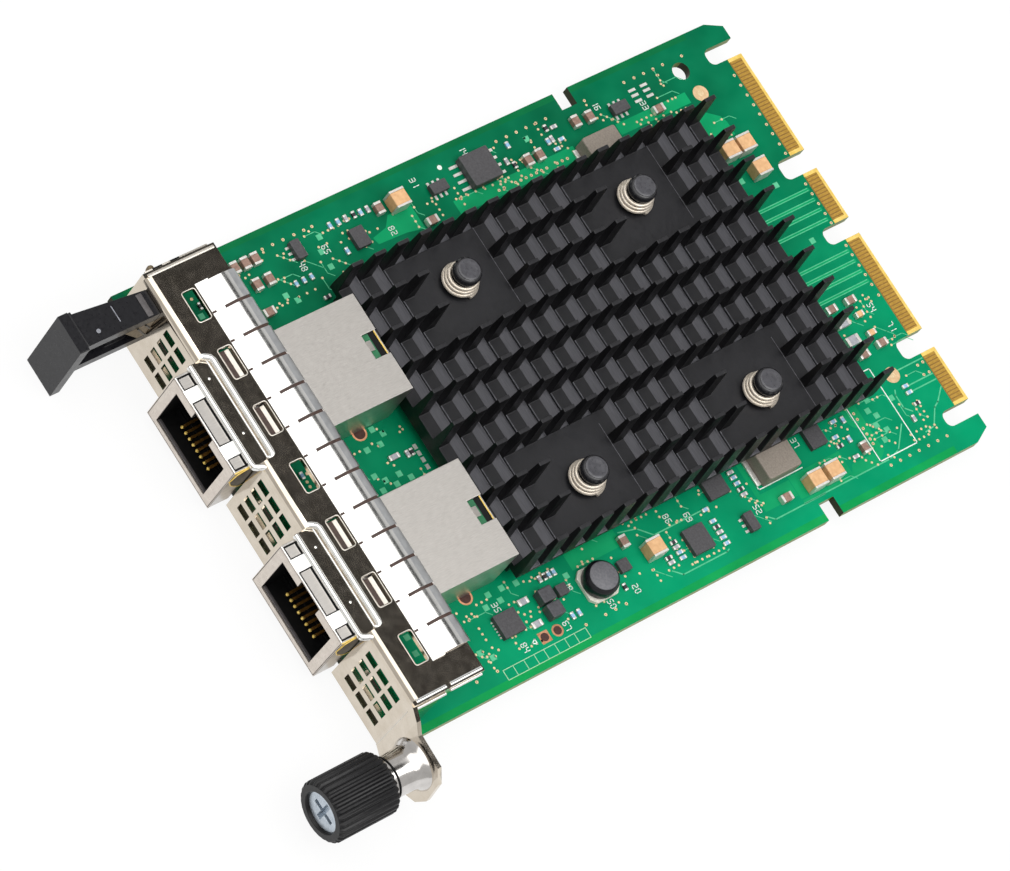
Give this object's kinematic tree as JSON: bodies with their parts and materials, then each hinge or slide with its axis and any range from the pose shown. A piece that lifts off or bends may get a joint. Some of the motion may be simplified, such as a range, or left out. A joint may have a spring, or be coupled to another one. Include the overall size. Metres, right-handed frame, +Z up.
{
  "type": "ethernet adapter card",
  "caption": "Network adapter card: green board with contact edge, vented faceplate, shielded sockets, finned heat sink, pull tab and captive thumbscrew.",
  "frame": {"origin": "middle of the card's contact edge, half-way through the board's thickness", "axes": "+Y the way the card plugs in, +Z up out of the component side, +X to the thumbscrew side"},
  "size_m": [0.0848, 0.1328, 0.016],
  "materials": {
    "black_anodised": "black anodised",
    "black_moulding": "black moulded plastic",
    "board_green": "green solder mask over glass-fibre board",
    "bright_sheet": "bright tin-plated spring sheet",
    "ceramic_brown": "brown ceramic",
    "ceramic_grey": "grey ceramic",
    "ceramic_tan": "tan moulded body",
    "ferrite_dark": "dark ferrite",
    "ferrite_grey": "pressed powder block",
    "gold": "gold plating",
    "knob_black": "black ribbed plastic",
    "nickel_sheet": "nickel-plated steel sheet",
    "package_black": "moulded chip package",
    "pad_grey": "soft thermal pad",
    "resistor_black": "dark film on ceramic",
    "screw_steel": "steel",
    "spring_wire": "bright spring wire",
    "substrate": "chip substrate",
    "tin": "tinned metal"
  },
  "bodies": {
    "card": {"block_inductors": "ferrite_grey", "brown_capacitors": "ceramic_brown", "chip_legs": "tin", "chip_resistors": "resistor_black", "circuit_board": "board_green", "component_ends": "tin", "controller_chip": "substrate", "double_inductor": "ferrite_dark", "faceplate": "nickel_sheet", "grey_capacitors": "ceramic_grey", "heat_sink": "black_anodised", "heat_sink_push_pins": "black_moulding", "heat_sink_springs": "spring_wire", "left_jack_body": "black_moulding", "left_jack_contacts": "gold", "left_jack_shield": "bright_sheet", "logic_chip": "package_black", "lower_edge_contacts": "gold", "memory_chip": "package_black", "pull_tab": "black_moulding", "regulator_chips": "package_black", "right_jack_body": "black_moulding", "right_jack_contacts": "gold", "right_jack_shield": "bright_sheet", "round_inductor": "ferrite_dark", "spring_finger_strip": "bright_sheet", "tan_capacitors": "ceramic_tan", "thermal_pad": "pad_grey", "thumbscrew_barrel": "screw_steel", "transistor_bodies": "package_black", "upper_edge_contacts": "gold"},
    "spring_carriage": {"thumbscrew_spring": "spring_wire"},
    "thumbscrew": {"thumbscrew_knob": "knob_black", "thumbscrew_screw": "screw_steel"}
  },
  "joints": [
    {"name": "thumbscrew_press", "type": "slide", "parent": "card", "child": "spring_carriage", "axis": [0, 1, 0], "range_m": [0, 0.0045], "stiffness_N_per_m": 400, "springref_m": -0.002, "deforming": ["thumbscrew_spring"]},
    {"name": "thumbscrew_turn", "type": "hinge", "parent": "spring_carriage", "child": "thumbscrew", "pos_m": [0.04175, -0.115, 0.00494], "axis": [0, 1, 0], "continuous": true}
  ]
}
